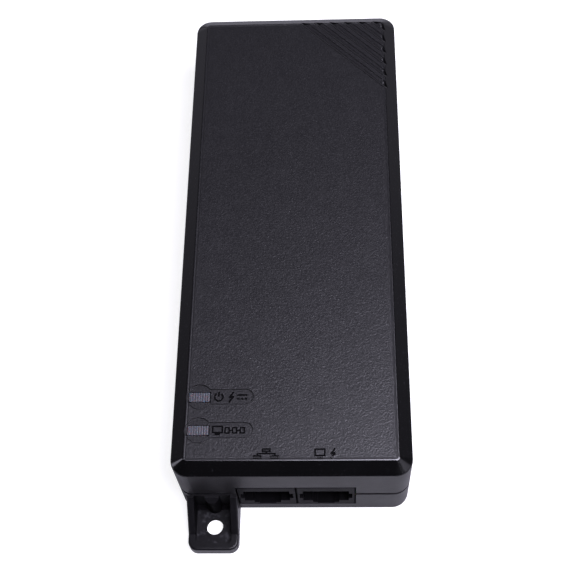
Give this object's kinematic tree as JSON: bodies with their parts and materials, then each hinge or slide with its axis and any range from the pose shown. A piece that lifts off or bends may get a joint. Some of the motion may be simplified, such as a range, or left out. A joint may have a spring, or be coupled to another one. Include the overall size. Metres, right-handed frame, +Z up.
{
  "type": "power over Ethernet injector",
  "caption": "Black moulded power injector for network cables: flat bevelled box with eight-way sockets at one end, mains inlet at the other and wall mounting ears.",
  "frame": {"origin": "centre of the flat underside, midway between the two ear tips", "axes": "+Z up out of the top face, +Y from the socket end to the mains inlet end, +X to the right when looking along +Y"},
  "size_m": [0.06, 0.1694, 0.0292],
  "materials": {
    "cover_plastic": "fine leather grain on top, satin walls",
    "base_plastic": "satin moulded, glossy inside the ears",
    "socket_plastic": "satin moulded black",
    "window_plastic": "smoky translucent, finely ribbed",
    "label_film": "printed film left blank",
    "screw_steel": "zinc plated",
    "board_laminate": "green solder mask",
    "sheet_film": "thin insulating film",
    "lamp_resin": "moulded lamp with a clear dome",
    "contact_gold": "gold plated spring wire",
    "pin_plate": "nickel plated blade",
    "fuse_black": "moulded",
    "thermistor_green": "dipped coating",
    "varistor_blue": "dipped coating",
    "ferrite": "sintered ferrite",
    "copper_winding": "enamelled copper wire",
    "capacitor_yellow": "moulded box",
    "chip_epoxy": "moulded epoxy with tinned leads",
    "can_sleeve": "shrink sleeve over an aluminium can",
    "sink_aluminium": "stamped plate",
    "tape_yellow": "polyester tape over the coil",
    "bobbin_black": "moulded phenolic",
    "capacitor_blue": "dipped coating",
    "magnetics_black": "moulded case"
  },
  "bodies": {
    "case": {"top_cover": "cover_plastic", "bottom_shell": "base_plastic", "wall_ears": "base_plastic", "rating_label": "label_film", "case_screws": "screw_steel", "main_board": "board_laminate", "board_screws": "screw_steel", "insulating_sheet": "sheet_film", "power_light_pipe": "window_plastic", "port_light_pipe": "window_plastic", "power_led": "lamp_resin", "port_led": "lamp_resin", "lan_socket_housing": "socket_plastic", "poe_socket_housing": "socket_plastic", "lan_contact_leads": "contact_gold", "poe_contact_leads": "contact_gold", "mains_inlet_body": "socket_plastic", "inlet_line_pin": "pin_plate", "inlet_neutral_pin": "pin_plate", "inlet_earth_pin": "pin_plate", "fuse": "fuse_black", "thermistor": "thermistor_green", "varistor": "varistor_blue", "choke_core": "ferrite", "choke_windings": "copper_winding", "x_capacitor": "capacitor_yellow", "bridge_rectifier": "chip_epoxy", "bulk_capacitor": "can_sleeve", "primary_heatsink": "sink_aluminium", "switching_transistor": "chip_epoxy", "control_chip": "chip_epoxy", "transformer_core": "ferrite", "transformer_winding": "tape_yellow", "transformer_bobbin": "bobbin_black", "y_capacitor": "capacitor_blue", "optocoupler": "chip_epoxy", "output_heatsink": "sink_aluminium", "output_diode": "chip_epoxy", "heatsink_screws": "screw_steel", "output_capacitors": "can_sleeve", "output_inductor_core": "ferrite", "output_inductor_winding": "copper_winding", "lan_magnetics": "magnetics_black", "poe_controller": "chip_epoxy"},
    "lan_contacts": {"lan_contact_springs": "contact_gold"},
    "poe_contacts": {"poe_contact_springs": "contact_gold"}
  },
  "joints": [
    {"name": "lan_contacts_flex", "type": "hinge", "parent": "case", "child": "lan_contacts", "pos_m": [-0.00692, -0.0693, 0.0153], "axis": [1, 0, 0], "range_deg": [0, 10], "stiffness_Nm_per_rad": 0.5},
    {"name": "poe_contacts_flex", "type": "hinge", "parent": "case", "child": "poe_contacts", "pos_m": [0.00832, -0.0693, 0.0153], "axis": [1, 0, 0], "range_deg": [0, 10], "stiffness_Nm_per_rad": 0.5}
  ]
}
